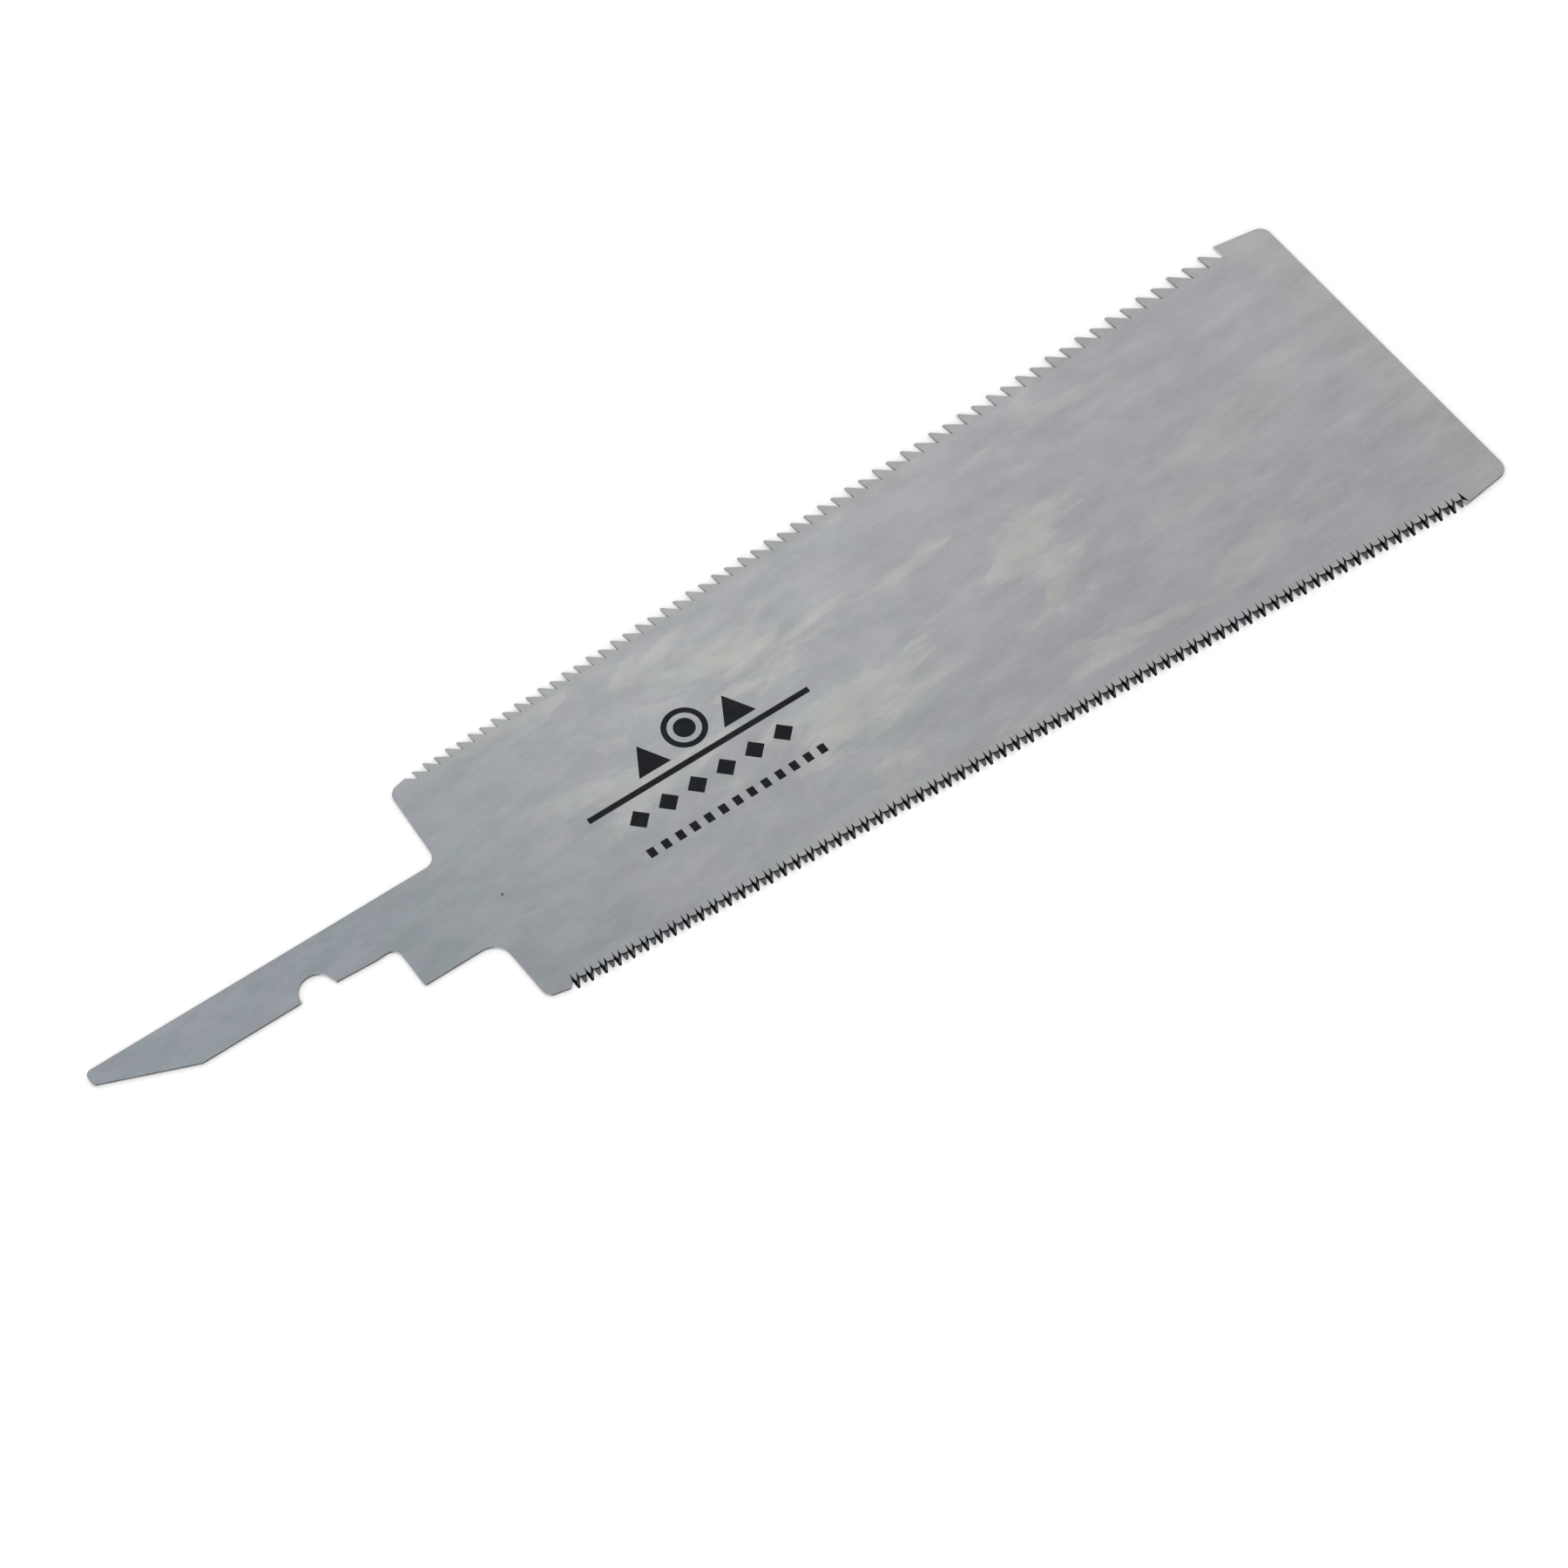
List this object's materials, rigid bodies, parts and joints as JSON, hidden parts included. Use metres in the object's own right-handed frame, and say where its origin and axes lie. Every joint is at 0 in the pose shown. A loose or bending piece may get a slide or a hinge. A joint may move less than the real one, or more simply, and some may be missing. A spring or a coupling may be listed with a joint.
{
  "type": "double-edged pull saw blade",
  "caption": "Flat steel saw blade with rip teeth on one long edge, crosscut teeth on the other, and a narrow hooked tang with a notch for a detachable handle.",
  "frame": {"origin": "middle of the blade's outline, on the level that the tips of the teeth set to the back rest on", "axes": "+X from the tang to the toe, +Y across the blade towards the rip teeth, +Z out of the printed face"},
  "size_m": [0.35, 0.0952, 0.001],
  "materials": {
    "blade_steel": "satin, finely ground along the length",
    "printed_mark": "thin black ink"
  },
  "bodies": {
    "root": {"saw_blade": "blade_steel"}
  },
  "joints": []
}
